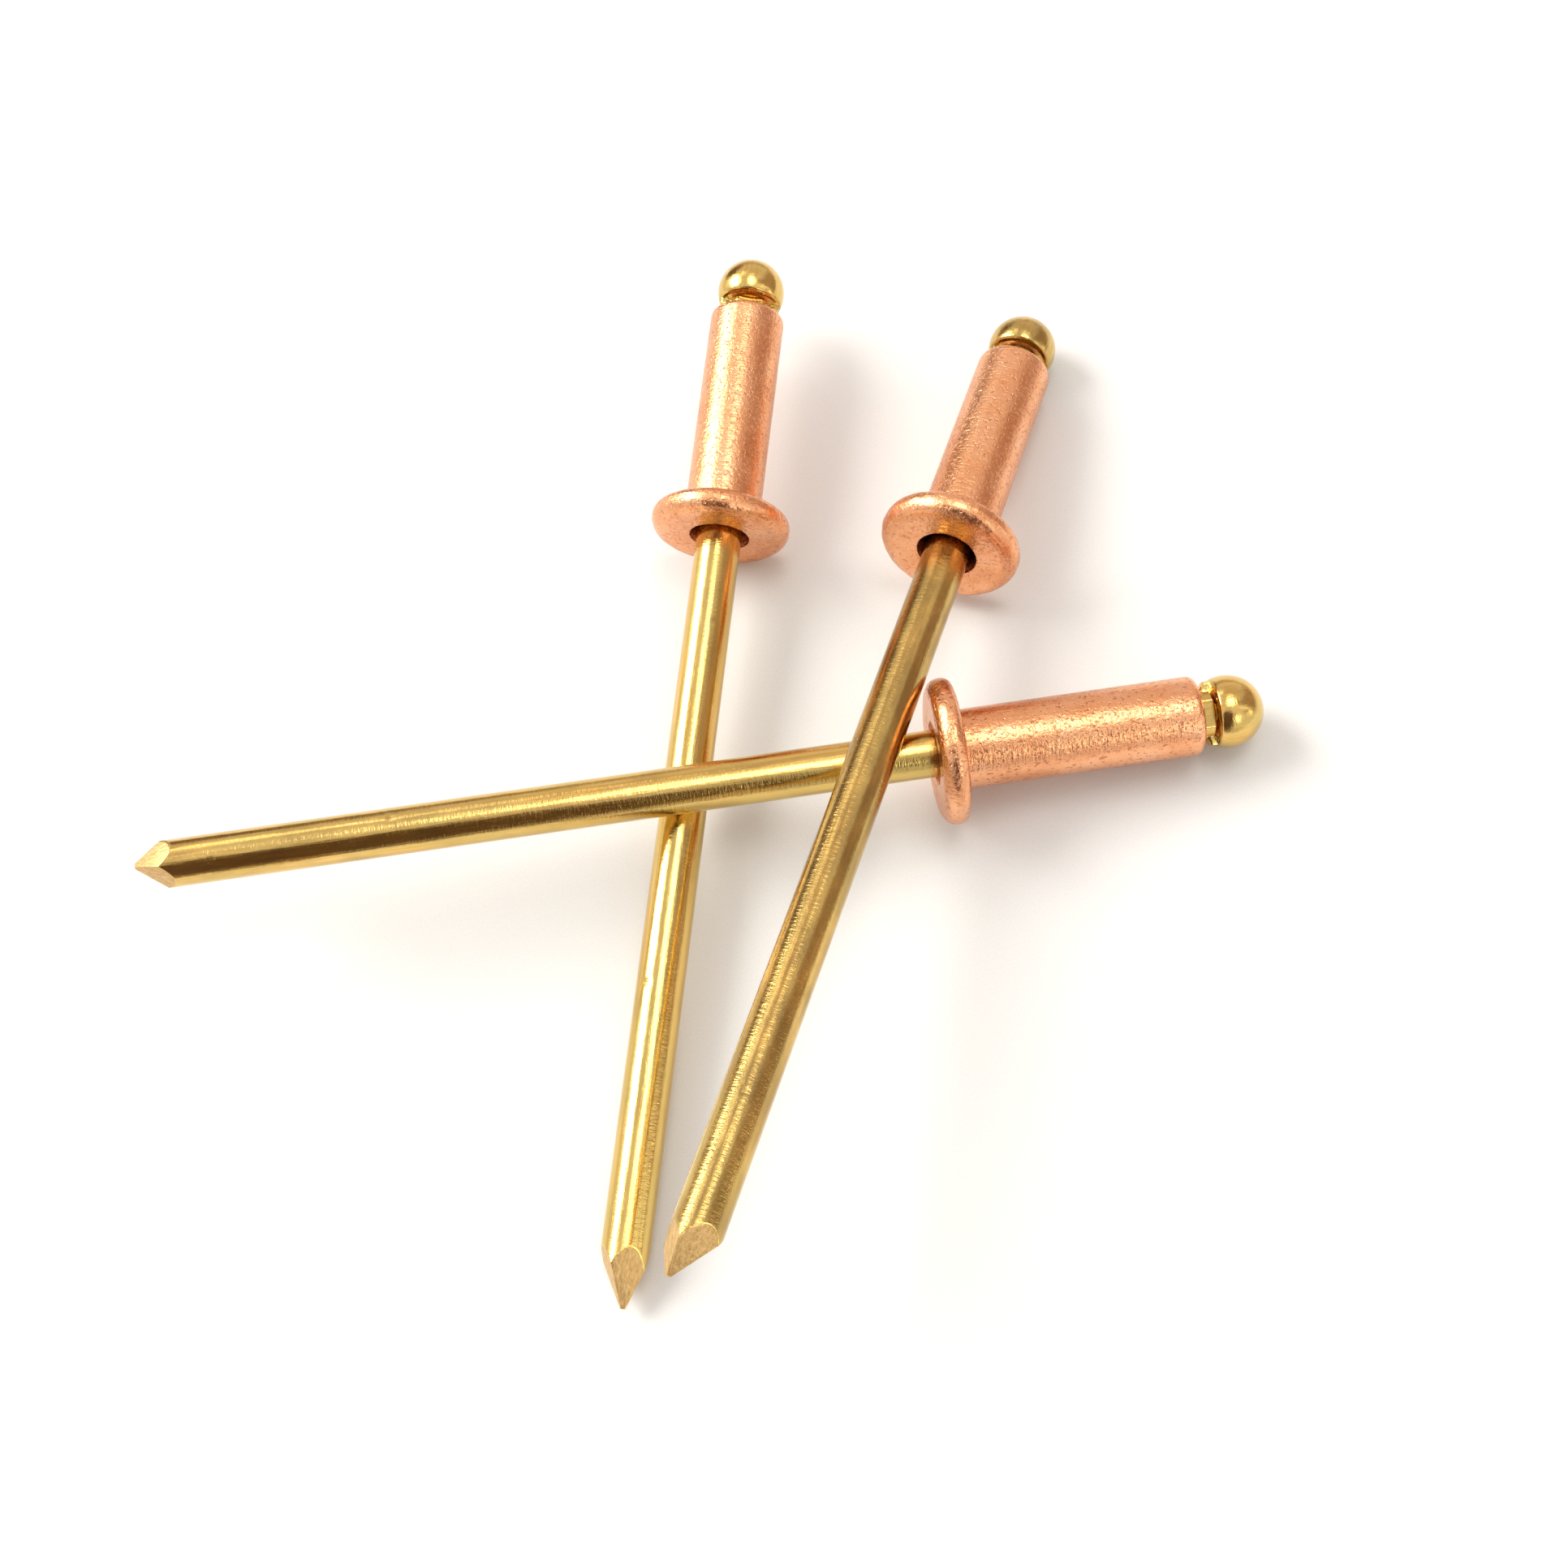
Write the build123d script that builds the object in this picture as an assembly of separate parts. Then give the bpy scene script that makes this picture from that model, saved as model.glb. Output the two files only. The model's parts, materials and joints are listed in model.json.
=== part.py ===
from build123d import *
import os
from math import atan2, cos, pi, radians, sin, sqrt

# Three blind (pop) rivets with copper shells and brass-coloured ball-head mandrels, lying across
# each other on a flat surface.  Every rivet is a tubular shell that is free to slide along a
# solid mandrel.  All lengths are in millimetres and the surface is the plane z = 0.

# ---------------------------------------------------------------- shell (rivet body)
body_diameter = 3.2
body_length = 9.55
flange_diameter = 5.9
flange_thickness = 1.1
bore_diameter = 2.0
mouth_diameter = 2.5
dish_diameter = 4.3
dish_depth = 0.06
mouth_depth = 0.7
end_round = 0.3
bore_edge_chamfer = 0.08
root_fillet = 0.1
face_rounding = 0.62          # of the rim on the open face, and below on the bearing face; both
bearing_rounding = 0.42       # are limited by the flange's thickness, so that a flat band stays

# ---------------------------------------------------------------- mandrel
bore_clearance = 0.05         # radial, shell bore to mandrel stem
stem_beyond_flange = 31.5     # from the flange's open face to the cut point
ball_diameter = 2.94
ball_beyond_shell = 1.18      # shell end to ball centre
ball_base_setback = 0.58      # ball centre to the flat base of the ball
base_round = 0.12
collar_height = 0.12
collar_step = 0.18
seat_gap = 0.03               # shell end to the mandrel's ears
ear_reach = 1.32
ear_width = 0.62
ear_round = 0.12
break_neck_diameter = 1.4
break_neck_width = 0.7
break_neck_setback = 1.6      # middle of the break neck, inside the shell end
point_end_flat = 0.16

# ---------------------------------------------------------------- how the three rivets lie
contact_gap = 0.03            # between stems that rest on each other
flange_gap = 0.1              # between the top rivet's stem and the rim it lies beside
flange_past_crossing = 9.8    # the top rivet's flange, from where its stem crosses the next one's

# flange centre on the surface, heading of the ball end, turn of the ears and of the cut point
# about the mandrel's own axis, length of the cut point and how far it sits off the axis; the top
# rivet has no flange centre, because its stem lies beside the crossing rivet's flange
LAYOUT = {
    "left_rivet": dict(
        flange_at=(-1.9, 8.3), heading=65.57, ear_turn=13,
        point_turn=24, point_length=2.3, point_offset=(-0.16, 0.07),
    ),
    "crossing_rivet": dict(
        flange_at=(3.57, -4.76), heading=-9.2, ear_turn=23.5,
        point_turn=72.5, point_length=1.7, point_offset=(0.0, -0.1),
    ),
    "top_rivet": dict(
        heading=54.6, ear_turn=13,
        point_turn=33, point_length=1.9, point_offset=(0.34, -0.22),
    ),
}

# ---------------------------------------------------------------- derived sizes
body_radius = body_diameter / 2
flange_radius = flange_diameter / 2
face_round = min(face_rounding, 0.57 * flange_thickness)
bearing_round = min(bearing_rounding, 0.39 * flange_thickness)
bore_radius = bore_diameter / 2
stem_radius = bore_radius - bore_clearance
ball_radius = ball_diameter / 2
face_z = -flange_thickness                      # the flange's open face; z = 0 is its bearing face
stem_end_z = face_z - stem_beyond_flange
ball_z = body_length + ball_beyond_shell
ball_base_z = ball_z - ball_base_setback
LOW = (Align.CENTER, Align.CENTER, Align.MIN)


def make_shell():
    """Flanged tube: bearing face at z = 0, barrel towards +Z, flange towards -Z."""
    barrel = Cylinder(body_radius, body_length, align=LOW)
    barrel = fillet(barrel.edges().group_by(Axis.Z)[-1], end_round)
    flange = Pos(0, 0, face_z) * Cylinder(flange_radius, flange_thickness, align=LOW)
    rims = flange.edges().filter_by(GeomType.CIRCLE).sort_by(Axis.Z)
    flange = fillet(rims[0], face_round)
    rims = flange.edges().filter_by(GeomType.CIRCLE).sort_by(Axis.Z)
    flange = fillet(rims[-1], bearing_round)
    shell = barrel + flange
    roots = [
        edge
        for edge in shell.edges().filter_by(GeomType.CIRCLE)
        if abs(edge.center().Z) < 1e-3 and abs(edge.radius - body_radius) < 1e-3
    ]
    shell = fillet(roots, root_fillet)
    dish = Pos(0, 0, face_z) * Cone(
        dish_diameter / 2, mouth_diameter / 2, dish_depth, align=LOW
    )
    mouth = Pos(0, 0, face_z + dish_depth) * Cone(
        mouth_diameter / 2, bore_radius, mouth_depth, align=LOW
    )
    bore = Pos(0, 0, face_z) * Cylinder(bore_radius, body_length - face_z, align=LOW)
    bore_edge = Pos(0, 0, body_length - bore_edge_chamfer) * Cone(
        bore_radius, bore_radius + bore_edge_chamfer, bore_edge_chamfer, align=LOW
    )
    return shell - dish - mouth - bore - bore_edge


def make_point(length, offset):
    """Four-sided cut point of the stem, its end at z = 0 and its root at z = length."""
    root = Pos(0, 0, length) * Rectangle(2 * stem_radius, 2 * stem_radius)
    end = Pos(offset[0], offset[1], 0) * Rectangle(point_end_flat, point_end_flat)
    pyramid = loft([end, root])
    return pyramid & Cylinder(stem_radius, length, align=LOW)


def turned_section(point_length):
    """Half section of the turned mandrel: stem, break neck, collar, flat-based ball."""
    neck_z = body_length - break_neck_setback
    half_neck = break_neck_width / 2
    corner_z = ball_base_setback - base_round
    corner_radius = sqrt((ball_radius - base_round) ** 2 - corner_z**2)
    corner_angle = atan2(-corner_z, corner_radius)

    def on_ball(angle):
        return ball_radius * cos(angle), ball_z + ball_radius * sin(angle)

    def on_corner(angle):
        centre_z = ball_base_z + base_round
        return corner_radius + base_round * cos(angle), centre_z + base_round * sin(angle)

    crown = ThreePointArc(
        on_ball(corner_angle), on_ball((corner_angle + pi / 2) / 2), (0, ball_z + ball_radius)
    )
    corner = ThreePointArc(
        (corner_radius, ball_base_z),
        on_corner((corner_angle - pi / 2) / 2),
        on_ball(corner_angle),
    )
    outline = Polyline(
        (0, ball_z + ball_radius),
        (0, stem_end_z + point_length),
        (stem_radius, stem_end_z + point_length),
        (stem_radius, neck_z - half_neck),
        (break_neck_diameter / 2, neck_z),
        (stem_radius, neck_z + half_neck),
        (stem_radius, ball_base_z - collar_height),
        (stem_radius + collar_step, ball_base_z),
        (corner_radius, ball_base_z),
    )
    return make_face(Curve() + [crown, corner, outline])


def make_ears():
    """Two ears pinched out of the neck, which seat on the end of the shell."""
    height = ball_base_z + base_round - body_length - seat_gap
    ears = Box(2 * ear_reach, ear_width, height, align=LOW)
    ears &= Cylinder(ear_reach, height, align=LOW)
    return fillet(ears.edges().filter_by(Axis.Z), ear_round)


def make_mandrel(ear_turn, point_turn, point_length, point_offset):
    """Turned mandrel with its ears outside the shell and its cut point at the free end."""
    turned = revolve(Plane.XZ * turned_section(point_length), Axis.Z)
    ears = Pos(0, 0, body_length + seat_gap) * Rot(0, 0, ear_turn) * make_ears()
    point = Pos(0, 0, stem_end_z) * Rot(0, 0, point_turn) * make_point(point_length, point_offset)
    return turned + ears + point


# ---------------------------------------------------------------- resting attitude
def direction(heading, tilt):
    """Unit vector from the cut point to the ball, both angles in degrees."""
    level = cos(radians(tilt))
    return Vector(
        level * cos(radians(heading)), level * sin(radians(heading)), sin(radians(tilt))
    )


def resting_height(tilt):
    """Height of the flange's middle when the lowest round edge of the rivet is on the surface."""
    half_flange = flange_thickness / 2
    rings = (                                   # place along the axis, radius, rounding
        (half_flange - bearing_round, flange_radius - bearing_round, bearing_round),
        (face_round - half_flange, flange_radius - face_round, face_round),
        (half_flange + body_length - end_round, body_radius - end_round, end_round),
        (half_flange + body_length + seat_gap, ear_reach, 0),
        (half_flange + ball_z, 0, ball_radius),
    )
    slope = radians(tilt)
    return max(radius * cos(slope) - along * sin(slope) + edge for along, radius, edge in rings)


def solve(function, low, high):
    """Value between low and high where a rising function crosses zero."""
    for _ in range(60):
        middle = (low + high) / 2
        if function(middle) < 0:
            low = middle
        else:
            high = middle
    return (low + high) / 2


def stem_gap(upper, lower):
    """Gap between two crossing stems; each is (middle of the flange, direction)."""
    normal = lower[1].cross(upper[1])
    if normal.Z < 0:
        normal = -normal
    return (upper[0] - lower[0]).dot(normal.normalized()) - 2 * stem_radius


def rim_gap(upper, lower):
    """Gap between a rivet's stem and the rounded rim of a lower rivet's flange."""
    middle, axis = lower
    sideways = Vector(0, 0, 1).cross(axis).normalized()
    upwards = axis.cross(sideways)
    ring_centre = middle - axis * (flange_thickness / 2 - face_round)
    ring_radius = flange_radius - face_round
    distances = []
    for step in range(720):
        turn = 2 * pi * step / 720
        spoke = sideways * (ring_radius * cos(turn)) + upwards * (ring_radius * sin(turn))
        distances.append((ring_centre + spoke - upper[0]).cross(upper[1]).length)
    return min(distances) - face_round - stem_radius


def attitude(flange_at, heading, tilt):
    """Middle of a rivet's flange and the direction of its axis."""
    middle = Vector(flange_at[0], flange_at[1], resting_height(tilt))
    return middle, direction(heading, tilt)


def cut_start(name):
    """Where the facets of the cut point begin, all round the stem, as (place along, height)."""
    spot = LAYOUT[name]
    half_flat = point_end_flat / 2
    full_length = flange_thickness / 2 + stem_beyond_flange
    places = []
    for step in range(720):
        turn = 2 * pi * step / 720
        share = 0
        for side in range(4):
            facing = side * pi / 2
            across = spot["point_offset"][0] * cos(facing) + spot["point_offset"][1] * sin(facing)
            end = across + half_flat
            share = max(share, (stem_radius * cos(turn - facing) - end) / (stem_radius - end))
        along = full_length - share * spot["point_length"]
        places.append((along, stem_radius * sin(turn + radians(spot["point_turn"]))))
    return places


def rest_on_surface(name):
    """Flange rim and the underside of the stem, where its point begins, on the surface."""
    spot = LAYOUT[name]
    places = cut_start(name)

    def excess(tilt):
        slope = radians(tilt)
        lowest = min(height * cos(slope) - along * sin(slope) for along, height in places)
        return -lowest - resting_height(tilt)

    return attitude(spot["flange_at"], spot["heading"], solve(excess, 0, 30))


def rest_on_stem(flange_at, heading, lower):
    """One end on the surface, the stem lying across a lower rivet's stem."""

    def shortfall(lean):
        return stem_gap(attitude(flange_at, heading, -lean), lower) - contact_gap

    return attitude(flange_at, heading, -solve(shortfall, 0, 30))


def rest_beside_flange(name, lower_name, lower):
    """On a lower rivet's stem, as close to its flange as the flange gap allows."""
    heading = LAYOUT[name]["heading"]
    lower_at, lower_way = LAYOUT[lower_name]["flange_at"], radians(LAYOUT[lower_name]["heading"])

    def placed(setback):
        x = lower_at[0] - setback * cos(lower_way) + flange_past_crossing * cos(radians(heading))
        y = lower_at[1] - setback * sin(lower_way) + flange_past_crossing * sin(radians(heading))
        return rest_on_stem((x, y), heading, lower)

    def spare(setback):
        return rim_gap(placed(setback), lower) - flange_gap

    return placed(solve(spare, 0, stem_beyond_flange))


left = rest_on_surface("left_rivet")
crossing_spot = LAYOUT["crossing_rivet"]
crossing = rest_on_stem(crossing_spot["flange_at"], crossing_spot["heading"], left)
top = rest_beside_flange("top_rivet", "crossing_rivet", crossing)
ATTITUDES = {"left_rivet": left, "crossing_rivet": crossing, "top_rivet": top}


def rivet_plane(name):
    """Plane of a rivet's bearing face: +Z towards the ball, +X level, +Y upwards."""
    middle, axis = ATTITUDES[name]
    sideways = Vector(0, 0, 1).cross(axis)
    return Plane(middle + axis * (flange_thickness / 2), x_dir=sideways, z_dir=axis)


# ---------------------------------------------------------------- assembly
shell = make_shell()
solids = {}
for name, spot in LAYOUT.items():
    plane = rivet_plane(name)
    mandrel = make_mandrel(
        spot["ear_turn"], spot["point_turn"], spot["point_length"], spot["point_offset"]
    )
    solids[name + "_shell"] = plane * shell
    solids[name + "_mandrel"] = plane * mandrel

# the frame's origin is the middle of the footprint, on the surface
box = Compound(list(solids.values())).bounding_box()
origin_shift = Vector(-box.center().X, -box.center().Y, 0)

os.makedirs("parts", exist_ok=True)
for node, solid in solids.items():
    placed = Pos(origin_shift) * solid
    solids[node] = placed
    export_step(placed, f"parts/{node}.step")
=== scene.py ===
import json
from math import atan2, cos, pi, radians, sin, sqrt

import bmesh
import bpy
import numpy as np
from mathutils import Matrix, Vector, noise


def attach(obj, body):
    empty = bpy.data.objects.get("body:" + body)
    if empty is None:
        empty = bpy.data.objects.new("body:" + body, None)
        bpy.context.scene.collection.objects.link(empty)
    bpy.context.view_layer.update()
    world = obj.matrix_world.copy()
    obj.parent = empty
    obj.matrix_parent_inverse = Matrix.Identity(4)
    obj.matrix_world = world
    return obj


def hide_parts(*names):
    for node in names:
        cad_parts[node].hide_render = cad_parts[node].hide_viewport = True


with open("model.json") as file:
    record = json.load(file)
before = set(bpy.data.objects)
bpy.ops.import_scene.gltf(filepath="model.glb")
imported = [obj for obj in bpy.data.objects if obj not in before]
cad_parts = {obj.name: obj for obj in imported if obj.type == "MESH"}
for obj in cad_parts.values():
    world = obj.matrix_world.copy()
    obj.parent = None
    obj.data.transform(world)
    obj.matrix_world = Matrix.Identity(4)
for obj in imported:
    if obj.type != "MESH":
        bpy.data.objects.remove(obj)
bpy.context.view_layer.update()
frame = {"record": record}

# Three copper blind rivets with brass mandrels, lying across each other.  Shapes are worked out
# in millimetres about each rivet's own axis (bearing face of the flange at z = 0, ball towards
# +z) and then placed in the frame, in metres.
MM = 0.001
MOUNTS = {mount["name"]: mount for mount in frame["record"]["mounts"]}

# ---------------------------------------------------------------- sizes, as in the CAD model
BODY_RADIUS = MOUNTS["left_shank"]["dims"]["r_mm"]
STEM_RADIUS = MOUNTS["left_stem"]["dims"]["r_mm"]
BODY_LENGTH = 9.55
FLANGE_RADIUS = 2.95
FLANGE_THICKNESS = 1.1
FACE_ROUND = 0.62
BEARING_ROUND = 0.42
BORE_RADIUS = 1.0
MOUTH_RADIUS = 1.25
DISH_RADIUS = 2.15
DISH_DEPTH = 0.06
MOUTH_DEPTH = 0.7
END_ROUND = 0.3
BORE_EDGE = 0.08
ROOT_FILLET = 0.1
FACE_Z = -FLANGE_THICKNESS
STEM_BEYOND_FLANGE = 31.5
STEM_END_Z = FACE_Z - STEM_BEYOND_FLANGE
BALL_RADIUS = 1.47
BALL_Z = BODY_LENGTH + 1.18   # middle of the ball
BALL_BASE_Z = BALL_Z - 0.58   # the flat under the ball
BASE_ROUND = 0.12
COLLAR_HEIGHT = 0.12
COLLAR_STEP = 0.18
NECK_Z = BODY_LENGTH - 1.6    # the groove inside the shell where the wire breaks
NECK_HALF_WIDTH = 0.35
NECK_RADIUS = 0.7
DIE_RINGS = (1.72, 2.42, 2.66)  # faint circles that the heading die left in the open face
DIE_RING_HALF_WIDTH = 0.07
DIE_RING_DEPTH = 0.014
EAR_REACH = 1.3
EAR_HALF_WIDTH = 0.31
EAR_START_Z = BODY_LENGTH + 0.03
EAR_RISE = 0.36               # from the ears' start to their full reach
EAR_THINNING = 0.07           # share of their reach that the ears lose towards their edges
PINCH_FLAT = 0.78             # half the distance between the flats beside the ears
POINT_FLAT = 0.08             # half width of the blunt end of the cut point
CUT_REACH = 3.0               # the facets of the cut point lie within this much of the end
FACET_BEVEL = 0.025
NICK_SLIMNESS = 2.2           # a nick is this many times longer across the wire than along it

# fineness of the meshes
SHELL_COLUMNS = 256
MANDREL_COLUMNS = 144
SMOOTH_UP_TO = radians(38)    # edges that turn by more than this are shaded sharp
BEVEL_FROM = radians(12)      # edges of the cut point that turn by more than this are bevelled

# turn of the ears and of the cut point about the axis, length and offset of the point, how coarse
# the copper is and how tarnished the brass, and the small nicks across the stem as (angle, z,
# half length, depth)
RIVETS = {
    "left": dict(
        ear_turn=13, point_turn=24, point_length=2.3, point_offset=(-0.16, 0.07), seed=3.0,
        coarse=0.35, olive=0.35,
        nicks=((62, -20.4, 0.42, 0.045), (95, -24.5, 0.22, 0.02), (120, -5.2, 0.3, 0.015)),
    ),
    "crossing": dict(
        ear_turn=23.5, point_turn=72.5, point_length=1.7, point_offset=(0.0, -0.1), seed=11.0,
        coarse=1.0, olive=0.45,
        nicks=((76, -22.4, 0.34, 0.03), (118, -29.4, 0.28, 0.02), (100, -13.0, 0.22, 0.012)),
    ),
    "top": dict(
        ear_turn=13, point_turn=33, point_length=1.9, point_offset=(0.34, -0.22), seed=23.0,
        coarse=0.25, olive=0.85,
        nicks=((125, -27.6, 0.26, 0.025), (118, -24.3, 0.24, 0.022), (95, -26.0, 0.25, 0.02)),
    ),
}


def local_axes(name):
    """Matrix from a rivet's own axes in metres to the frame, from its mounts."""
    shank = MOUNTS[name + "_shank"]
    axis = Vector(shank["axis"]).normalized()
    on_axis = Vector(shank["pos_m"])
    on_face = Vector(MOUNTS[name + "_bearing_face"]["pos_m"])
    centre = on_axis + axis * (on_face - on_axis).dot(axis)
    side = (on_face - centre).normalized()
    rows = Matrix((side, axis.cross(side), axis)).transposed().to_4x4()
    return Matrix.Translation(centre) @ rows


# ---------------------------------------------------------------- outlines
def line(start, end, step):
    """Points from start up to, but not including, end."""
    start, end = np.array(start, float), np.array(end, float)
    count = max(1, round(float(np.linalg.norm(end - start)) / step))
    return [tuple(start + (end - start) * i / count) for i in range(count)]


def arc(centre, radius, start, end, count):
    """Points on an arc, angles in degrees, up to but not including the last."""
    angles = [radians(start + (end - start) * i / count) for i in range(count)]
    return [(centre[0] + radius * cos(a), centre[1] + radius * sin(a)) for a in angles]


def shell_outline():
    """Closed outline of the flanged tube as (radius, z), from the flange root round to it."""
    coarse, fine = 0.25, 0.06
    face_x = FLANGE_RADIUS - FACE_ROUND
    bearing_x = FLANGE_RADIUS - BEARING_ROUND
    root_x = BODY_RADIUS + ROOT_FILLET
    end_x = BODY_RADIUS - END_ROUND
    end_z = BODY_LENGTH - END_ROUND
    dish_z = FACE_Z + DISH_DEPTH
    points = arc((root_x, ROOT_FILLET), ROOT_FILLET, 270, 180, 6)
    points += line((BODY_RADIUS, ROOT_FILLET), (BODY_RADIUS, end_z), fine)
    points += arc((end_x, end_z), END_ROUND, 0, 90, 10)
    edge_out = (BORE_RADIUS + BORE_EDGE, BODY_LENGTH)
    edge_in = (BORE_RADIUS, BODY_LENGTH - BORE_EDGE)
    mouth_in = (BORE_RADIUS, dish_z + MOUTH_DEPTH)
    points += line((end_x, BODY_LENGTH), edge_out, fine)
    points += line(edge_out, edge_in, fine)
    points += line(edge_in, mouth_in, coarse)
    points += line(mouth_in, (MOUTH_RADIUS, dish_z), fine)
    points += line((MOUTH_RADIUS, dish_z), (DISH_RADIUS, FACE_Z), fine)
    points += line((DISH_RADIUS, FACE_Z), (face_x, FACE_Z), fine)
    points += arc((face_x, FACE_Z + FACE_ROUND), FACE_ROUND, 270, 360, 18)
    points += line((FLANGE_RADIUS, FACE_Z + FACE_ROUND), (FLANGE_RADIUS, -BEARING_ROUND), fine)
    points += arc((bearing_x, -BEARING_ROUND), BEARING_ROUND, 0, 90, 14)
    points += line((bearing_x, 0), (root_x, 0), fine)
    return points


def mandrel_outline():
    """Open outline of the turned mandrel as (radius, z), from the stem's end up to the ball's top."""
    fine, stem_step = 0.05, 0.12
    base_rise = BALL_Z - BALL_BASE_Z - BASE_ROUND
    base_x = sqrt((BALL_RADIUS - BASE_ROUND) ** 2 - base_rise**2)
    base_angle = -atan2(base_rise, base_x) * 180 / pi
    collar_z = BALL_BASE_Z - COLLAR_HEIGHT
    collar_x = STEM_RADIUS + COLLAR_STEP
    neck_from = (STEM_RADIUS, NECK_Z - NECK_HALF_WIDTH)
    neck_to = (STEM_RADIUS, NECK_Z + NECK_HALF_WIDTH)
    below_ears = (STEM_RADIUS, EAR_START_Z - 0.1)
    points = line((STEM_RADIUS, STEM_END_Z), neck_from, stem_step)
    points += line(neck_from, (NECK_RADIUS, NECK_Z), fine)
    points += line((NECK_RADIUS, NECK_Z), neck_to, fine)
    points += line(neck_to, below_ears, 0.2)
    points += line(below_ears, (STEM_RADIUS, collar_z), 0.02)
    points += line((STEM_RADIUS, collar_z), (collar_x, BALL_BASE_Z), 0.03)
    points += line((collar_x, BALL_BASE_Z), (base_x, BALL_BASE_Z), 0.04)
    points += arc((base_x, BALL_BASE_Z + BASE_ROUND), BASE_ROUND, -90, base_angle, 6)
    points += arc((0, BALL_Z), BALL_RADIUS, base_angle, 90, 56)
    return points


# ---------------------------------------------------------------- surface relief
def wobble(point, seed, across, along):
    """Smooth noise from -1 to 1 at a point in mm, with its own scale along the axis."""
    return noise.noise(Vector((point.x * across + seed, point.y * across, point.z * along)))


def smooth_step(value, low, high):
    share = min(1.0, max(0.0, (value - low) / (high - low)))
    return share * share * (3 - 2 * share)


def shell_relief(point, seed):
    """How far a shell's surface sits below its outline, in mm: waves, forging marks, die rings."""
    waves = 0.5 + 0.5 * wobble(point, seed, 0.9, 0.35)
    if point.z > 0.05:
        grain = 0.5 + 0.5 * wobble(point, seed + 40, 4.5, 3.5)
        return 0.010 * waves + 0.006 * grain
    forged = 0.5 + 0.5 * wobble(point, seed + 80, 2.4, 2.4)
    grain = 0.5 + 0.5 * wobble(point, seed + 40, 5.5, 5.5)
    depth = 0.014 * waves + 0.034 * forged + 0.012 * grain
    if point.z < FACE_Z + FACE_ROUND:
        radius = sqrt(point.x**2 + point.y**2)
        for ring in DIE_RINGS:
            off_ring = (radius - ring) / DIE_RING_HALF_WIDTH
            depth += DIE_RING_DEPTH * max(0.0, 1 - off_ring**2)
    return depth


def mandrel_relief(point, seed, nicks):
    """Depth in mm of the wire's waves, draw lines and nicks; the ball is only a little uneven."""
    if point.z > BALL_BASE_Z:
        broad = 0.5 + 0.5 * wobble(point, seed, 0.8, 0.8)
        return 0.030 * broad + 0.006 * (0.5 + 0.5 * wobble(point, seed + 30, 2.2, 2.2))
    radius = max(1e-6, sqrt(point.x**2 + point.y**2))
    rim = Vector((point.x / radius, point.y / radius, point.z))
    depth = 0.005 * (0.5 + 0.5 * wobble(rim, seed, 1.4, 0.12))
    depth += 0.0030 * (0.5 + 0.5 * wobble(rim, seed + 9, 5.0, 0.35))
    depth += 0.0012 * (0.5 + 0.5 * wobble(rim, seed + 17, 12.0, 0.9))
    for angle, z, size, deep in nicks:
        spot = Vector((STEM_RADIUS * cos(radians(angle)), STEM_RADIUS * sin(radians(angle)), z))
        delta = point - spot
        away = Vector((delta.x, delta.y, delta.z * NICK_SLIMNESS)).length / size
        if away < 1:
            depth += deep * (1 - away * away) ** 2
    return depth


def pinched_radius(angle, z, ear_turn):
    """Radius of the neck between shell and ball: two ears, with a flat on each side."""
    turn = angle - radians(ear_turn)
    across, reach = abs(sin(turn)), abs(cos(turn))
    flat = min(STEM_RADIUS, PINCH_FLAT / max(across, 1e-6))
    inside = smooth_step(z, EAR_START_Z, EAR_START_Z + 0.08)
    radius = STEM_RADIUS + (flat - STEM_RADIUS) * inside
    width = STEM_RADIUS * across
    ear = 1 - smooth_step(width, EAR_HALF_WIDTH - 0.1, EAR_HALF_WIDTH + 0.04)
    rise = smooth_step(z, EAR_START_Z + 0.04, EAR_START_Z + EAR_RISE)
    ear_radius = EAR_REACH * (1 - EAR_THINNING + EAR_THINNING * reach)
    return radius + (ear_radius - radius) * ear * rise


# ---------------------------------------------------------------- mesh making
def grid_faces(rows, columns, closed):
    """Quads of a surface of revolution, rows along the outline."""
    faces = []
    for i in range(rows if closed else rows - 1):
        below, above = i * columns, (i + 1) % rows * columns
        for j in range(columns):
            k = (j + 1) % columns
            faces.append((below + j, below + k, above + k, above + j))
    return faces


def turned(outline, columns):
    """Vertices of an outline turned round the axis, one ring for each outline point."""
    angles = [2 * pi * j / columns for j in range(columns)]
    return [Vector((r * cos(a), r * sin(a), z)) for r, z in outline for a in angles]


def build_mesh(name, vertices, faces):
    """A bmesh with its faces pointing outwards."""
    mesh = bpy.data.meshes.new(name)
    mesh.from_pydata([tuple(v) for v in vertices], [], faces)
    work = bmesh.new()
    work.from_mesh(mesh)
    bpy.data.meshes.remove(mesh)
    bmesh.ops.recalc_face_normals(work, faces=work.faces)
    work.normal_update()
    return work


def press_in(work, depth_of):
    """Sets every vertex back along its normal, so the piece never outgrows its outline."""
    moves = [(v, v.normal * depth_of(v.co)) for v in work.verts]
    for vertex, move in moves:
        vertex.co -= move


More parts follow.
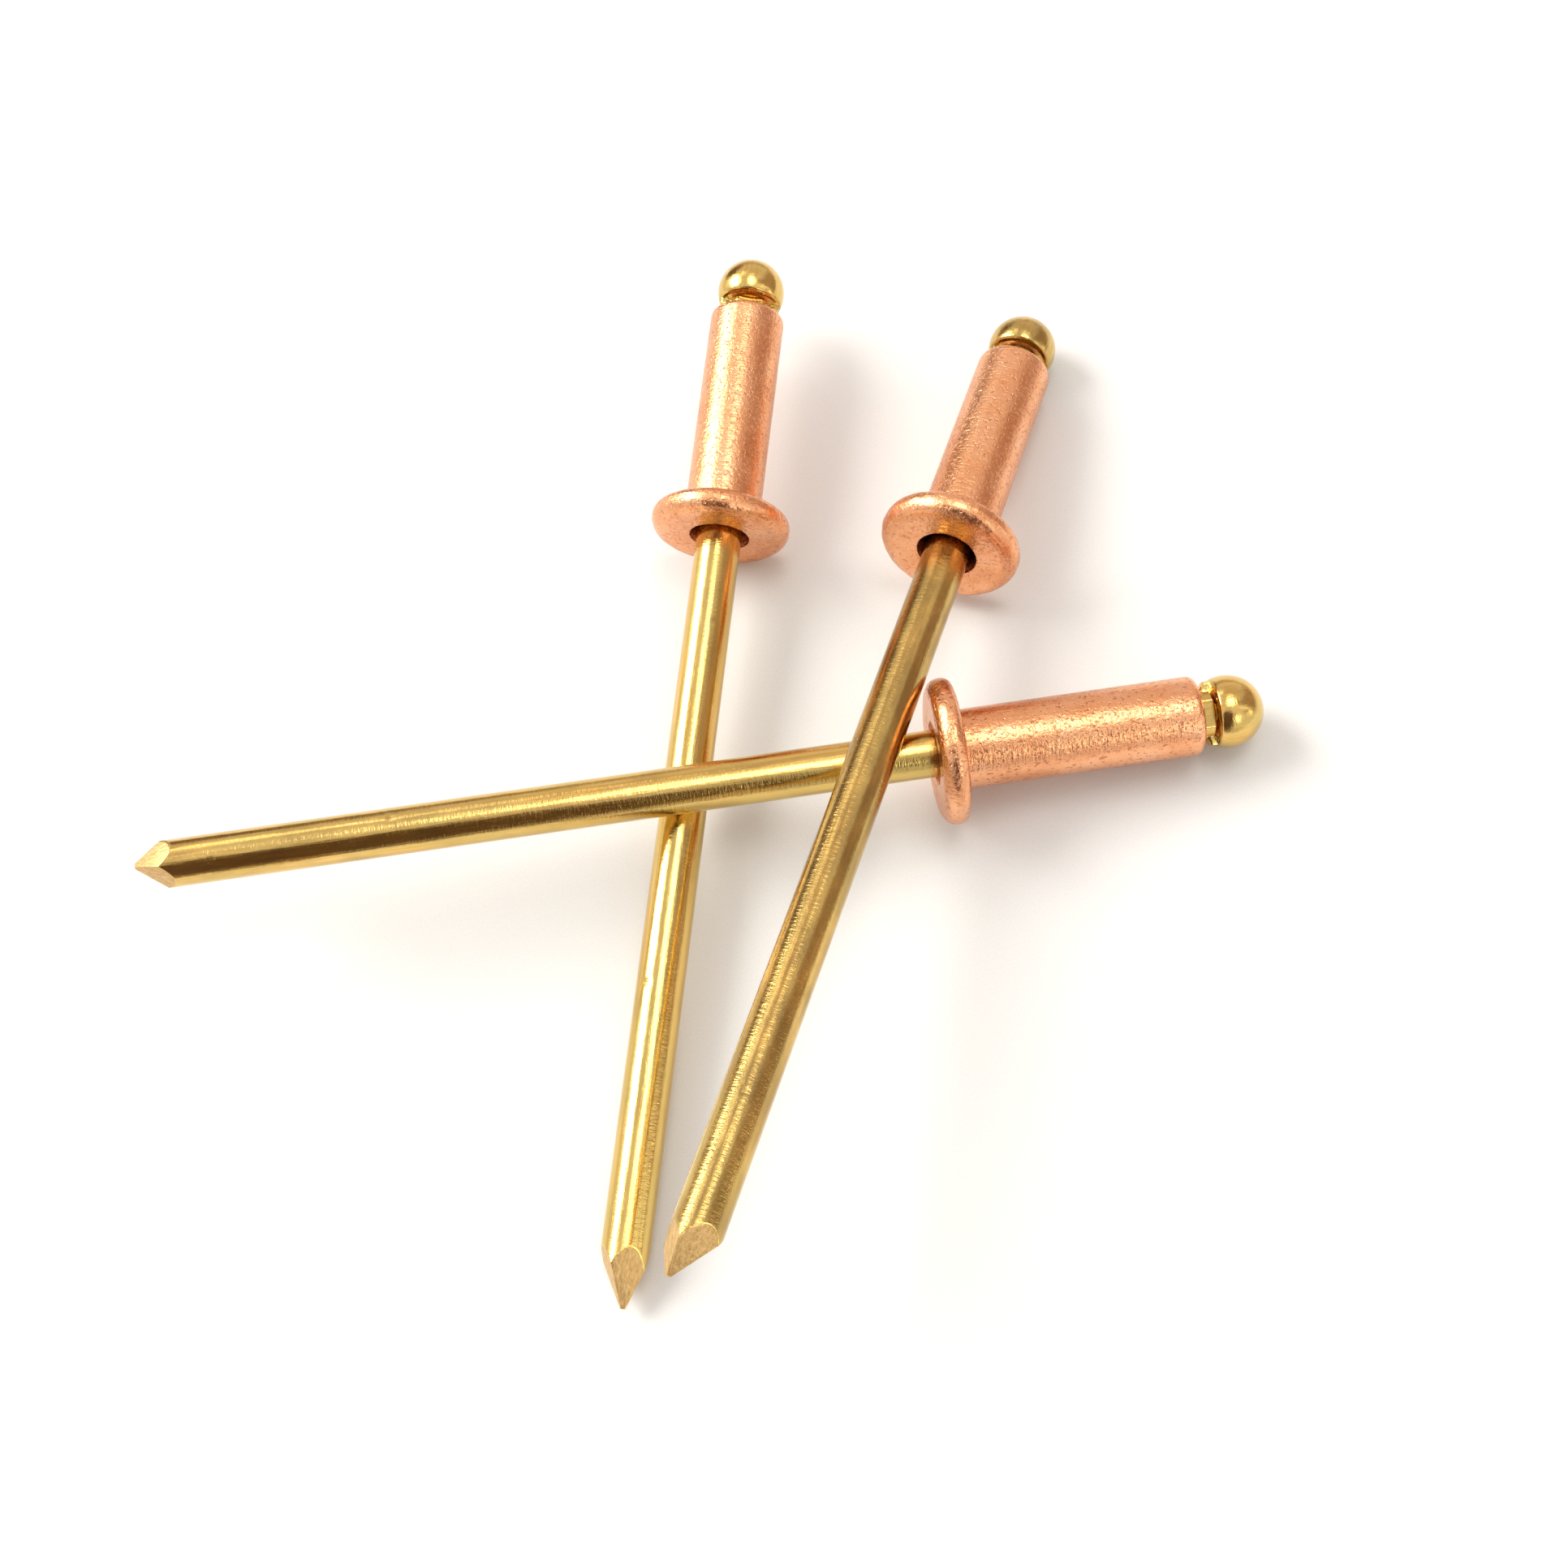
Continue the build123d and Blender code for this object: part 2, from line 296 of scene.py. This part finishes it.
def cut_point(work, spec):
    """Cuts the four facets and the blunt end of the stem's point, each a flat face."""
    length, turn = spec["point_length"], radians(spec["point_turn"])
    offset = Vector(spec["point_offset"])
    planes = [((0, 0, STEM_END_Z), Vector((0, 0, -1)))]
    for k in range(4):
        side = Vector((round(cos(k * pi / 2)), round(sin(k * pi / 2))))
        near = offset.dot(side) + POINT_FLAT
        slope = (STEM_RADIUS - near) / length
        turned_x = side.x * cos(turn) - side.y * sin(turn)
        turned_y = side.x * sin(turn) + side.y * cos(turn)
        outwards = Vector((turned_x, turned_y))
        spot = (outwards.x * near, outwards.y * near, STEM_END_Z)
        planes.append((spot, Vector((outwards.x, outwards.y, -slope)).normalized()))
    for spot, normal in planes:
        whole = list(work.verts) + list(work.edges) + list(work.faces)
        bmesh.ops.bisect_plane(
            work, geom=whole, dist=1e-7, plane_co=spot, plane_no=normal, clear_outer=True
        )
        rim = [edge for edge in work.edges if edge.is_boundary]
        bmesh.ops.holes_fill(work, edges=rim, sides=0)
    work.normal_update()


def soften_facets(work, width):
    """A small bevel where the facets of the cut point meet, so that the edges catch light."""
    sharp = [
        edge
        for edge in work.edges
        if len(edge.link_faces) == 2
        and edge.calc_face_angle(0) > BEVEL_FROM
        and max(v.co.z for v in edge.verts) < STEM_END_Z + CUT_REACH
    ]
    bmesh.ops.bevel(
        work, geom=sharp, offset=width, segments=2, profile=0.6, affect="EDGES", clamp_overlap=True
    )


def place(work, name, matrix, material, body, node, slot):
    """Turns a finished bmesh in mm into a piece in the frame, with its own axes kept as data."""
    mesh = bpy.data.meshes.new(name)
    local = [vertex.co.copy() for vertex in work.verts]
    to_frame = matrix @ Matrix.Scale(MM, 4)
    bmesh.ops.transform(work, matrix=to_frame, verts=work.verts)
    work.to_mesh(mesh)
    work.free()
    own = mesh.attributes.new("own_mm", "FLOAT_VECTOR", "POINT")
    own.data.foreach_set("vector", np.array(local, dtype=np.float32).ravel())
    mesh.shade_smooth()
    mesh.set_sharp_from_angle(angle=SMOOTH_UP_TO)
    mesh.materials.append(material)
    piece = bpy.data.objects.new(name, mesh)
    bpy.context.scene.collection.objects.link(piece)
    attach(piece, body)
    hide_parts(node)
    return piece


def make_shell(name, material):
    """Copper shell of one rivet."""
    seed = RIVETS[name]["seed"]
    outline, columns = shell_outline(), SHELL_COLUMNS
    work = build_mesh(name, turned(outline, columns), grid_faces(len(outline), columns, True))
    press_in(work, lambda point: shell_relief(point, seed))
    node = name + "_rivet_shell"
    return place(work, name + "_shell", local_axes(name), material, node, node, "copper_shell")


def make_mandrel(name, material):
    """Brass mandrel of one rivet, from its cut point to its ball."""
    spec = RIVETS[name]
    outline, columns = mandrel_outline(), MANDREL_COLUMNS
    vertices = turned(outline, columns)
    neck_top = BALL_BASE_Z - 0.5 * COLLAR_HEIGHT
    for vertex in vertices:
        if EAR_START_Z < vertex.z < BALL_BASE_Z + 0.02:
            angle = atan2(vertex.y, vertex.x)
            radius = pinched_radius(angle, min(vertex.z, neck_top), spec["ear_turn"])
            own = sqrt(vertex.x**2 + vertex.y**2)
            scale = max(radius, own if vertex.z > BALL_BASE_Z - COLLAR_HEIGHT else 0) / own
            vertex.x *= scale
            vertex.y *= scale
    faces = grid_faces(len(outline), columns, False)
    last = (len(outline) - 1) * columns
    top = len(vertices)
    vertices.append(Vector((0, 0, BALL_Z + BALL_RADIUS)))
    faces += [(last + j, last + (j + 1) % columns, top) for j in range(columns)]
    faces.append(tuple(reversed(range(columns))))
    work = build_mesh(name, vertices, faces)
    press_in(work, lambda point: mandrel_relief(point, spec["seed"], spec["nicks"]))
    cut_point(work, spec)
    soften_facets(work, FACET_BEVEL)
    node = name + "_rivet_mandrel"
    return place(work, name + "_mandrel", local_axes(name), material, node, node, "brass_mandrel")


# ---------------------------------------------------------------- materials
COPPER = (0.88, 0.42, 0.215)
COPPER_BROWN = (0.78, 0.335, 0.155)
COPPER_PINK = (0.92, 0.49, 0.29)
COPPER_PIT = (0.42, 0.15, 0.07)
# painted shade: dark copper colour standing in for the shadow inside the bore and mouth
COPPER_BORE_SHADE = (0.34, 0.11, 0.05)
BRASS = (0.77, 0.50, 0.155)
BRASS_DEEP = (0.66, 0.40, 0.105)
BRASS_PALE = (0.83, 0.57, 0.22)
BRASS_TARNISH = (0.40, 0.27, 0.095)
BRASS_GREEN = (0.63, 0.47, 0.15)
SHEARED_DARK = (0.54, 0.33, 0.12)
SHEARED_PALE = (0.80, 0.55, 0.25)


class Nodes:
    """Short ways of adding and linking shader nodes."""

    def __init__(self, name):
        self.material = bpy.data.materials.new(name)
        self.material.use_nodes = True
        self.tree = self.material.node_tree
        self.shader = self.tree.nodes["Principled BSDF"]

    def add(self, kind, **values):
        node = self.tree.nodes.new(kind)
        for key, value in values.items():
            if key in node.inputs:
                node.inputs[key].default_value = value
            else:
                setattr(node, key, value)
        return node

    def link(self, source, target):
        self.tree.links.new(source, target)

    def noise(self, scale_vector, seed, detail=4.0, roughness=0.55, scale=1.0):
        """Noise over the rivet's own axes in mm, stretched by scale_vector."""
        own = self.add("ShaderNodeAttribute", attribute_name="own_mm")
        mapping = self.add("ShaderNodeMapping")
        mapping.inputs["Scale"].default_value = scale_vector
        mapping.inputs["Location"].default_value = (seed, seed * 0.7, seed * 1.3)
        self.link(own.outputs["Vector"], mapping.inputs["Vector"])
        texture = self.add("ShaderNodeTexNoise", Scale=scale, Detail=detail, Roughness=roughness)
        self.link(mapping.outputs["Vector"], texture.inputs["Vector"])
        return texture.outputs["Fac"]

    def axis_distance(self):
        """Distance from the rivet's own axis, in mm."""
        own = self.add("ShaderNodeAttribute", attribute_name="own_mm")
        flat = self.add("ShaderNodeVectorMath", operation="MULTIPLY")
        flat.inputs[1].default_value = (1, 1, 0)
        self.link(own.outputs["Vector"], flat.inputs[0])
        length = self.add("ShaderNodeVectorMath", operation="LENGTH")
        self.link(flat.outputs["Vector"], length.inputs[0])
        return length.outputs["Value"]

    def place_along(self):
        """Place along the rivet's own axis, in mm."""
        own = self.add("ShaderNodeAttribute", attribute_name="own_mm")
        parts = self.add("ShaderNodeSeparateXYZ")
        self.link(own.outputs["Vector"], parts.inputs["Vector"])
        return parts.outputs["Z"]

    def maths(self, operation, first, second):
        node = self.add("ShaderNodeMath", operation=operation)
        self.link(first, node.inputs[0])
        self.link(second, node.inputs[1])
        return node.outputs["Value"]

    def multiply(self, first, second):
        return self.maths("MULTIPLY", first, second)

    def add_up(self, first, second):
        return self.maths("ADD", first, second)

    def remap(self, source, low, high, to_low, to_high):
        node = self.add("ShaderNodeMapRange")
        for key, value in (("From Min", low), ("From Max", high), ("To Min", to_low), ("To Max", to_high)):
            node.inputs[key].default_value = value
        self.link(source, node.inputs["Value"])
        return node.outputs["Result"]

    def ramp(self, source, stops):
        node = self.add("ShaderNodeValToRGB")
        elements = node.color_ramp.elements
        while len(elements) < len(stops):
            elements.new(0.5)
        for element, (position, colour) in zip(elements, stops):
            element.position = position
            element.color = (*colour, 1)
        self.link(source, node.inputs["Fac"])
        return node.outputs["Color"]

    def mix_colour(self, share, first, second, blend="MIX"):
        node = self.add("ShaderNodeMix", data_type="RGBA", blend_type=blend)
        for socket, value in (("Factor", share), ("A", first), ("B", second)):
            slots = [s for s in node.inputs if s.name == socket and s.enabled]
            if hasattr(value, "node"):
                self.link(value, slots[0])
            else:
                slots[0].default_value = value if socket == "Factor" else (*value, 1)
        return [s for s in node.outputs if s.enabled][0]

    def bump(self, height, depth_mm, before=None):
        node = self.add("ShaderNodeBump", Strength=1.0, Distance=depth_mm * MM)
        self.link(height, node.inputs["Height"])
        if before is not None:
            self.link(before, node.inputs["Normal"])
        return node.outputs["Normal"]


def copper(name, seed, coarse):
    """Satin copper: grain, pits, turning marks, pink and brown mottling, and painted shade that darkens
    the bore.

    coarse goes from 0, an even satin, to 1, flaky and pitted.
    """
    n = Nodes(name)
    mottle = n.noise((0.9, 0.9, 0.6), seed, detail=5)
    grain = n.noise((8, 8, 8), seed + 5, detail=3, roughness=0.65)
    flakes = n.noise((6.0, 6.0, 4.2), seed + 21, detail=3)
    rings = n.noise((1.6, 1.6, 12), seed + 8, detail=3)
    pits = n.noise((7, 7, 5.5), seed + 15, detail=2)
    colour = n.ramp(mottle, ((0.30, COPPER_BROWN), (0.52, COPPER), (0.76, COPPER_PINK)))
    colour = n.mix_colour(n.remap(pits, 0.58, 0.66, 0.0, 0.3 + 0.3 * coarse), colour, COPPER_PIT)
    # painted shade: copper within 1.1 mm of the axis (bore and mouth) is darkened as if in the hole's
    # shadow, fading out by 1.35 mm
    bore_shade = n.remap(n.axis_distance(), BORE_RADIUS + 0.1, MOUTH_RADIUS + 0.1, 1.0, 0.0)
    colour = n.mix_colour(bore_shade, colour, COPPER_BORE_SHADE)
    n.link(colour, n.shader.inputs["Base Color"])
    smoothest = 0.20 - 0.05 * coarse
    n.link(n.remap(grain, 0.3, 0.7, smoothest, smoothest + 0.13), n.shader.inputs["Roughness"])
    normal = n.bump(grain, 0.016)
    normal = n.bump(flakes, 0.006 + 0.012 * coarse, normal)
    normal = n.bump(rings, 0.017 - 0.005 * coarse, normal)
    normal = n.bump(n.remap(pits, 0.56, 0.68, 1.0, 0.0), 0.010, normal)
    n.link(normal, n.shader.inputs["Normal"])
    n.shader.inputs["Metallic"].default_value = 1.0
    return n.material


def brass(name, seed, olive):
    """Drawn brass wire: long streaks, olive tarnish, fine scratches, and matt sheared facets.

    olive goes from 0, clean brass, to 1, brown with tarnish and ticks.
    """
    n = Nodes(name)
    off_axis = n.remap(n.axis_distance(), STEM_RADIUS - 0.06, STEM_RADIUS - 0.03, 1.0, 0.0)
    cut_top = STEM_END_Z + CUT_REACH
    near_end = n.remap(n.place_along(), cut_top, cut_top + 0.1, 1.0, 0.0)
    sheared = n.multiply(off_axis, near_end)
    streak = n.noise((7, 7, 0.25), seed, detail=5, roughness=0.6)
    tarnish = n.noise((1.1, 1.1, 0.45), seed + 4, detail=5)
    scratch = n.noise((16, 16, 1.2), seed + 7, detail=3)
    ticks = n.noise((2.5, 2.5, 9), seed + 11, detail=3, roughness=0.7)
    green = n.noise((0.8, 0.8, 0.2), seed + 31, detail=3)
    colour = n.ramp(streak, ((0.30, BRASS_DEEP), (0.50, BRASS), (0.72, BRASS_PALE)))
    colour = n.mix_colour(n.remap(green, 0.40, 0.65, 0.0, 0.8), colour, BRASS_GREEN)
    tarnished = n.remap(tarnish, 0.62 - 0.35 * olive, 0.82 - 0.25 * olive, 0.0, olive)
    colour = n.mix_colour(tarnished, colour, BRASS_TARNISH)
    colour = n.mix_colour(n.remap(ticks, 0.64, 0.74, 0.0, 0.5 * olive), colour, BRASS_DEEP)
    torn = n.noise((9, 9, 1.6), seed + 41, detail=4, roughness=0.6)
    torn_colour = n.ramp(torn, ((0.30, SHEARED_DARK), (0.70, SHEARED_PALE)))
    colour = n.mix_colour(sheared, colour, torn_colour)
    n.link(colour, n.shader.inputs["Base Color"])
    polish = n.remap(scratch, 0.3, 0.7, 0.08, 0.20)
    n.link(n.add_up(polish, n.remap(sheared, 0.0, 1.0, 0.0, 0.30)), n.shader.inputs["Roughness"])
    normal = n.bump(streak, 0.006)
    normal = n.bump(scratch, 0.003, normal)
    normal = n.bump(ticks, 0.004 + 0.012 * olive, normal)
    normal = n.bump(n.multiply(sheared, torn), 0.030, normal)
    n.link(normal, n.shader.inputs["Normal"])
    n.shader.inputs["Metallic"].default_value = 1.0
    return n.material


PAPER_SHADE = (0.74, 0.745, 0.76)
PAPER_PALE = (0.78, 0.785, 0.80)


def white_paper():
    """The pale surface under the rivets."""
    n = Nodes("pale_floor")
    fibre = n.add("ShaderNodeTexNoise", Scale=900.0, Detail=3.0)
    colour = n.ramp(fibre.outputs["Fac"], ((0.3, PAPER_SHADE), (0.7, PAPER_PALE)))
    n.link(colour, n.shader.inputs["Base Color"])
    n.shader.inputs["Roughness"].default_value = 0.85
    return n.material


# ---------------------------------------------------------------- camera, floor and light
# lens in mm, angles in degrees, distance and target in mm
CAMERA = dict(
    lens=44.56, azimuth=-0.386, elevation=66.78, roll=-18.63, distance=80.29, target=(2.999, -1.596, 0.0)
)


def camera_axes():
    """Right, up and back directions of the main view."""
    azimuth, elevation = radians(CAMERA["azimuth"]), radians(CAMERA["elevation"])
    back = Vector((cos(elevation) * sin(azimuth), -cos(elevation) * cos(azimuth), sin(elevation)))
    level = Vector((cos(azimuth), sin(azimuth), 0))
    upright = back.cross(level)
    roll = radians(CAMERA["roll"])
    right = level * cos(roll) + upright * sin(roll)
    up = upright * cos(roll) - level * sin(roll)
    return right, up, back


def make_camera():
    right, up, back = camera_axes()
    data = bpy.data.cameras.new("camera")
    data.lens = CAMERA["lens"]
    data.sensor_width = 36
    data.clip_start = MM
    camera = bpy.data.objects.new("camera", data)
    rows = Matrix((right, up, back)).transposed().to_4x4()
    target = Vector(CAMERA["target"]) * MM
    camera.matrix_world = Matrix.Translation(target + back * CAMERA["distance"] * MM) @ rows
    bpy.context.scene.collection.objects.link(camera)
    bpy.context.scene.camera = camera


PAPER_HALF_SIZE = 0.04        # what the metal mirrors of the floor, in metres
FLOOR_HALF_SIZE = 3.0


def floor_piece(name, corners, faces, material):
    mesh = bpy.data.meshes.new(name)
    mesh.from_pydata(corners, [], faces)
    mesh.materials.append(material)
    floor = bpy.data.objects.new(name, mesh)
    bpy.context.scene.collection.objects.link(floor)
    return floor


def make_floor():
    """A sheet under the rivets and a wide floor round it, which the metal doesn't mirror."""
    signs = ((-1, -1), (1, -1), (1, 1), (-1, 1))
    inner = [(x * PAPER_HALF_SIZE, y * PAPER_HALF_SIZE, 0) for x, y in signs]
    outer = [(x * FLOOR_HALF_SIZE, y * FLOOR_HALF_SIZE, 0) for x, y in signs]
    paper = white_paper()
    floor_piece("paper", inner, [(0, 1, 2, 3)], paper)
    rim = [(i, (i + 1) % 4, (i + 1) % 4 + 4, i + 4) for i in range(4)]
    wide = floor_piece("floor", outer + inner, rim, paper)
    wide.visible_glossy = False


# What surrounds the rivets, as patches of a soft-edged sky: degrees sideways and upwards of the
# view axis, half width and half height in degrees, edge softness as a share, and brightness.
SURROUNDINGS = (0.95, 0.92, 0.88)
PATCHES = (
    ((62, 62), (25, 46), 0.30, (0.52, 0.37, 0.29)),      # dim wall on the right
    ((4, 70), (32, 22), 0.45, (0.84, 0.72, 0.62)),       # ceiling between the windows
    ((44, 31), (26, 9), 0.35, (0.50, 0.38, 0.30)),       # dim wall under it, right
    ((0, 112), (62, 10), 0.40, (0.70, 0.54, 0.44)),      # far edge of the table
    ((-34, 108), (20, 15), 0.35, (0.26, 0.17, 0.12)),    # dark furniture beyond it
    ((10, -78), (70, 9), 0.35, (0.40, 0.29, 0.23)),      # near edge of the table
    ((-9, -36), (23, 39), 0.22, (0.13, 0.08, 0.06)),     # dark figure on the near side
    ((-62, 80), (13, 16), 0.45, (1.5, 1.45, 1.3)),       # haze under the large window
    ((-51, 52), (15, 18), 0.22, (12.0, 11.8, 11.0)),     # large window, left
    ((-22, 65), (9, 7), 0.35, (2.4, 2.3, 2.1)),          # its far corner
    ((2, 49), (8, 6), 0.40, (1.8, 1.7, 1.55)),           # pale wall over the middle window
    ((4, 29), (11, 13), 0.20, (5.5, 5.4, 5.0)),          # window in the middle
    ((42, 14), (22, 5), 0.35, (1.6, 1.55, 1.4)),         # row of small windows, right
    ((68, -6), (6, 7), 0.35, (2.6, 2.5, 2.2)),           # small window, far right
    ((24, -28), (8, 13), 0.35, (3.0, 2.9, 2.6)),         # small window, near side
)


def sky_patch(tree, looking, place, half_size, softness):
    """Mask output that is 1 inside an oval patch of sky and fades to 0 at its edge."""
    right, up, back = camera_axes()
    side, rise = radians(place[0]), radians(place[1])
    level = back * cos(rise) + up * sin(rise)
    centre = level * cos(side) + right * sin(side)
    across = right * cos(side) - level * sin(side)
    along = up * cos(rise) - back * sin(rise)
    sizes = [sin(radians(angle)) for angle in half_size]
    sizes.append(sum(sizes) / 2)
    combine = tree.nodes.new("ShaderNodeCombineXYZ")
    for axis, size, socket in zip((across, along, centre), sizes, combine.inputs):
        dot = tree.nodes.new("ShaderNodeVectorMath")
        dot.operation = "DOT_PRODUCT"
        dot.inputs[1].default_value = axis / size
        tree.links.new(looking, dot.inputs[0])
        tree.links.new(dot.outputs["Value"], socket)
    shift = tree.nodes.new("ShaderNodeVectorMath")
    shift.operation = "DISTANCE"
    shift.inputs[1].default_value = (0, 0, 1 / sizes[2])
    tree.links.new(combine.outputs["Vector"], shift.inputs[0])
    fade = tree.nodes.new("ShaderNodeMapRange")
    fade.interpolation_type = "SMOOTHSTEP"
    for key, value in (
        ("From Min", 1 - softness), ("From Max", 1 + softness), ("To Min", 1), ("To Max", 0)
    ):
        fade.inputs[key].default_value = value
    tree.links.new(shift.outputs["Value"], fade.inputs["Value"])
    return fade.outputs["Result"]


def make_world():
    """Bright surroundings with windows and dim patches; plain white where the camera sees it."""
    world = bpy.data.worlds.new("studio")
    world.use_nodes = True
    tree = world.node_tree
    looking = tree.nodes.new("ShaderNodeTexCoord").outputs["Generated"]
    colour = None
    for place, half_size, softness, brightness in PATCHES:
        mix = tree.nodes.new("ShaderNodeMix")
        mix.data_type = "VECTOR"
        mix.clamp_factor = True
        factor, first, second = mix.inputs[0], mix.inputs[4], mix.inputs[5]
        tree.links.new(sky_patch(tree, looking, place, half_size, softness), factor)
        if colour is None:
            first.default_value = SURROUNDINGS
        else:
            tree.links.new(colour, first)
        second.default_value = brightness
        colour = mix.outputs[1]
    background = tree.nodes["Background"]
    tree.links.new(colour, background.inputs["Color"])
    background.inputs["Strength"].default_value = 1.0
    plain = tree.nodes.new("ShaderNodeBackground")
    plain.inputs["Color"].default_value = (1, 1, 1, 1)
    path = tree.nodes.new("ShaderNodeLightPath")
    mix = tree.nodes.new("ShaderNodeMixShader")
    tree.links.new(path.outputs["Is Camera Ray"], mix.inputs["Fac"])
    tree.links.new(background.outputs["Background"], mix.inputs[1])
    tree.links.new(plain.outputs["Background"], mix.inputs[2])
    tree.links.new(mix.outputs["Shader"], tree.nodes["World Output"].inputs["Surface"])
    bpy.context.scene.world = world


# ---------------------------------------------------------------- the scene
bpy.context.scene.view_settings.view_transform = "Standard"
make_camera()
make_floor()
make_world()
for name, spec in RIVETS.items():
    make_shell(name, copper(name + "_copper", spec["seed"], spec["coarse"]))
    make_mandrel(name, brass(name + "_brass", spec["seed"], spec["olive"]))
